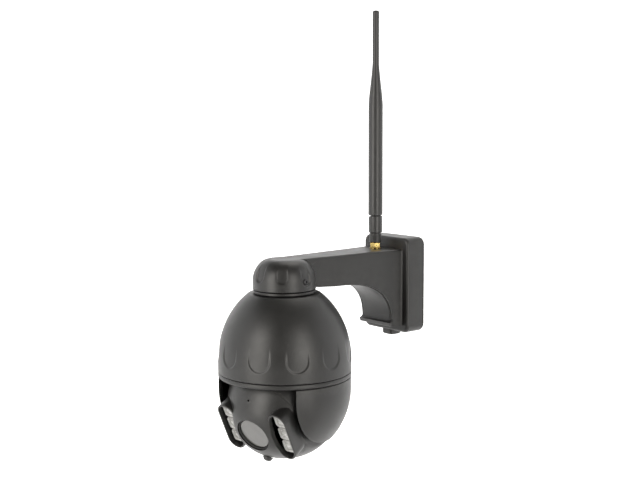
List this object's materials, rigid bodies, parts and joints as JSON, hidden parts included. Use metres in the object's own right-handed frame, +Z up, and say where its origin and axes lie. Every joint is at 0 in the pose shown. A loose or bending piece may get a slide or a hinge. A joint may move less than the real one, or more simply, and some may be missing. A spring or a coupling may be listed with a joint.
{
  "type": "wall-mounted security camera",
  "caption": "Security camera on a wall arm: pan dome under the arm's neck, tilting ball head with window and lamp pods, hinged whip antenna.",
  "frame": {"origin": "centre of the wall face of the mounting plate", "axes": "+Z up, +Y into the wall, the arm and camera stand out along -Y, +X to the right seen from the front"},
  "size_m": [0.1068, 0.1834, 0.3595],
  "materials": {
    "body_plastic": "satin moulded charcoal plastic",
    "antenna_plastic": "satin black sleeve",
    "black_rubber": "matte",
    "steel": "zinc plated",
    "dark_screw": "black oxide",
    "brass": "plated and polished",
    "window_glass": "coated window with a pale grey sheen",
    "led_lens": "clear moulded lens blocks over white lamps",
    "board_green": "solder mask",
    "gear_plastic": "natural acetal",
    "inner_plastic": "moulded black plastic"
  },
  "bodies": {
    "bracket": {"wall_plate": "steel", "wall_gasket": "black_rubber", "wall_box": "body_plastic", "lock_screw": "dark_screw", "root_screw_upper": "steel", "root_screw_lower": "steel", "cable_grommet": "black_rubber", "bracket_arm": "body_plastic", "arm_cover": "body_plastic", "cover_screw": "dark_screw", "neck_screw_left": "dark_screw", "neck_screw_right": "dark_screw", "pan_hub": "inner_plastic", "fixed_pan_gear": "gear_plastic", "hub_nut": "steel", "antenna_bulkhead": "brass", "antenna_washer": "brass", "antenna_nut": "brass", "antenna_collar": "antenna_plastic"},
    "antenna_base": {"antenna_knuckle": "antenna_plastic", "antenna_pin": "steel"},
    "antenna_whip": {"antenna_whip": "antenna_plastic"},
    "dome": {"neck_ring": "body_plastic", "upper_shell": "body_plastic", "bead_ring": "body_plastic", "lower_shell": "body_plastic", "pan_bearing": "steel", "chassis_plate": "inner_plastic", "chassis_screw_front": "steel", "chassis_screw_rear": "steel", "pan_motor": "steel", "main_board": "board_green", "yoke_left": "inner_plastic", "yoke_right": "inner_plastic", "tilt_bush_left": "gear_plastic", "tilt_bush_right": "gear_plastic", "tilt_motor": "steel", "tilt_belt": "black_rubber"},
    "pan_pinion": {"pan_pinion": "gear_plastic"},
    "tilt_motor_pulley": {"tilt_motor_pulley": "gear_plastic"},
    "head": {"head_front_shell": "body_plastic", "head_rear_shell": "body_plastic", "lens_bezel": "inner_plastic", "lens_window": "window_glass", "lens_barrel": "inner_plastic", "image_board": "board_green", "led_board_left": "board_green", "led_board_right": "board_green", "led_left_upper": "led_lens", "led_left_middle": "led_lens", "led_left_lower": "led_lens", "led_right_upper": "led_lens", "led_right_middle": "led_lens", "led_right_lower": "led_lens", "light_sensor": "body_plastic", "trunnion_left": "steel", "trunnion_right": "steel", "tilt_pulley": "gear_plastic", "head_screw_upper": "dark_screw", "head_screw_lower": "dark_screw"}
  },
  "joints": [
    {"name": "pan", "type": "hinge", "parent": "bracket", "child": "dome", "pos_m": [0, -0.13, 0], "axis": [0, 0, 1], "range_deg": [-190.9, 164.1]},
    {"name": "pan_pinion_spin", "type": "hinge", "parent": "dome", "child": "pan_pinion", "pos_m": [-0.00487, -0.10957, -0.0105], "axis": [0, 0, 1], "range_deg": [-620, 535]},
    {"name": "tilt", "type": "hinge", "parent": "dome", "child": "head", "pos_m": [0, -0.13, -0.08415], "axis": [0.9728, 0.2317, 0], "range_deg": [-25.8, 64.2]},
    {"name": "tilt_motor_spin", "type": "hinge", "parent": "dome", "child": "tilt_motor_pulley", "pos_m": [0, -0.13, -0.0215], "axis": [0.9728, 0.2317, 0], "range_deg": [-65, 161]},
    {"name": "antenna_swivel", "type": "hinge", "parent": "bracket", "child": "antenna_base", "pos_m": [0, -0.0316, 0.0527], "axis": [0, 0, 1], "range_deg": [-180, 180]},
    {"name": "antenna_tilt", "type": "hinge", "parent": "antenna_base", "child": "antenna_whip", "pos_m": [0, -0.0316, 0.0527], "axis": [0, -1, 0], "range_deg": [0, 90]}
  ],
  "couplings": [
    {"joint": "pan_pinion_spin", "follows": "pan", "ratio": 3.2},
    {"joint": "tilt_motor_spin", "follows": "tilt", "ratio": 2.5}
  ]
}
